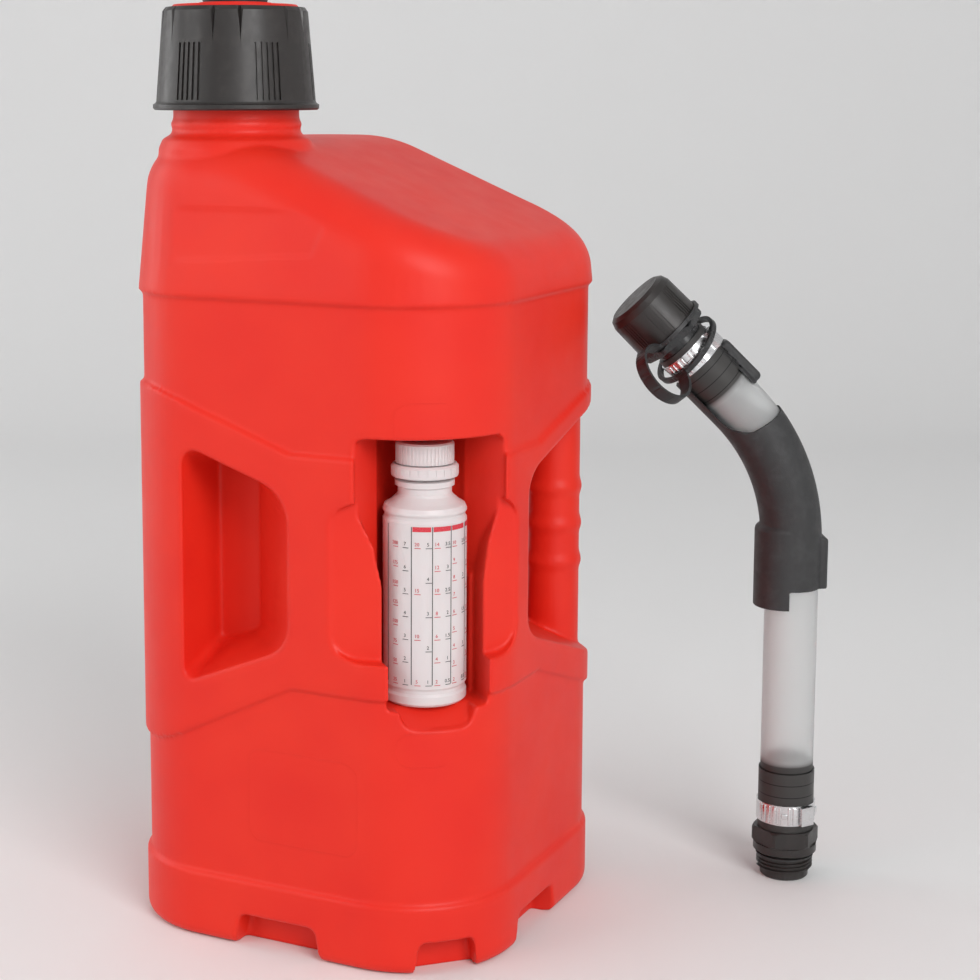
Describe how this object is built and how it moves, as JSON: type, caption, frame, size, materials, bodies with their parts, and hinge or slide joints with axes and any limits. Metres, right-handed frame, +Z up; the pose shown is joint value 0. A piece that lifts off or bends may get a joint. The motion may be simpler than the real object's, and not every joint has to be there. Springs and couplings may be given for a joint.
{
  "type": "jerry can",
  "caption": "Tall rounded-square plastic fuel can with a corner neck and screw cap, corner grip, measuring bottle in a corner bay, and a separate bent pouring hose.",
  "frame": {"origin": "middle of the tank's base, on the floor", "axes": "+Z up; the wide front face looks to -Y; bottle corner at +X -Y, neck corner at -X -Y, grip corner at +X +Y"},
  "size_m": [0.3724, 0.2812, 0.5602],
  "materials": {
    "red_plastic": "satin moulded polyethylene",
    "black_plastic": "satin moulded plastic",
    "bottle_plastic": "translucent natural polyethylene",
    "clear_hose": "frosted clear vinyl",
    "grip_plastic": "fine grained plastic",
    "stainless": "bright strip",
    "seal_rubber": "matt",
    "strap_rubber": "satin"
  },
  "bodies": {
    "tank": {"tank": "red_plastic"},
    "cap_core": {"cap_insert": "red_plastic", "cap_gasket": "seal_rubber"},
    "cap_ring": {"cap_collar": "black_plastic"},
    "plug_seat": {"plug_gasket": "seal_rubber"},
    "plug": {"port_plug": "black_plastic"},
    "bottle": {"mixing_bottle": "bottle_plastic", "tamper_ring": "bottle_plastic"},
    "bottle_seal": {"bottle_cap_liner": "seal_rubber"},
    "bottle_top": {"bottle_cap": "bottle_plastic"},
    "hose": {"hose_tube": "clear_hose", "hose_coupling": "black_plastic", "coupling_gasket": "seal_rubber", "lower_clamp": "stainless", "upper_clamp": "stainless", "grip_sleeve": "grip_plastic", "spout_body": "black_plastic", "cap_tether": "strap_rubber"},
    "spout_seal": {"spout_cap_seal": "seal_rubber"},
    "spout_top": {"spout_cap": "black_plastic"}
  },
  "joints": [
    {"name": "cap_lift", "type": "slide", "parent": "tank", "child": "cap_core", "axis": [0, 0, 1], "range_m": [0, 0.026]},
    {"name": "cap_turn", "type": "hinge", "parent": "cap_core", "child": "cap_ring", "pos_m": [-0.0605, -0.056, 0.52], "axis": [0, 0, 1], "range_deg": [0, 1560]},
    {"name": "plug_lift", "type": "slide", "parent": "cap_core", "child": "plug_seat", "axis": [0, 0, 1], "range_m": [0, 0.017]},
    {"name": "plug_turn", "type": "hinge", "parent": "plug_seat", "child": "plug", "pos_m": [-0.0605, -0.056, 0.55], "axis": [0, 0, 1], "range_deg": [0, 2550]},
    {"name": "bottle_out", "type": "slide", "parent": "tank", "child": "bottle", "axis": [0.7071, -0.7071, 0], "range_m": [0, 0.1]},
    {"name": "bottle_cap_lift", "type": "slide", "parent": "bottle", "child": "bottle_seal", "axis": [0, 0, 1], "range_m": [0, 0.004]},
    {"name": "bottle_cap_turn", "type": "hinge", "parent": "bottle_seal", "child": "bottle_top", "pos_m": [0.074, -0.074, 0.3], "axis": [0, 0, 1], "range_deg": [0, 480]},
    {"name": "hose_lift", "type": "slide", "parent": "tank", "child": "hose", "axis": [0, 0, 1], "range_m": [0, 0.25]},
    {"name": "spout_cap_lift", "type": "slide", "parent": "hose", "child": "spout_seal", "axis": [-0.6272, -0.3265, 0.7071], "range_m": [0, 0.015]},
    {"name": "spout_cap_turn", "type": "hinge", "parent": "spout_seal", "child": "spout_top", "pos_m": [0.19728, 0.12693, 0.31068], "axis": [-0.6272, -0.3265, 0.7071], "range_deg": [0, 1800]}
  ],
  "couplings": [
    {"joint": "cap_turn", "follows": "cap_lift", "rad_per_m": 1047.2},
    {"joint": "plug_turn", "follows": "plug_lift", "rad_per_m": 2618},
    {"joint": "bottle_cap_turn", "follows": "bottle_cap_lift", "rad_per_m": 2094.4},
    {"joint": "spout_cap_turn", "follows": "spout_cap_lift", "rad_per_m": 2094.4}
  ]
}
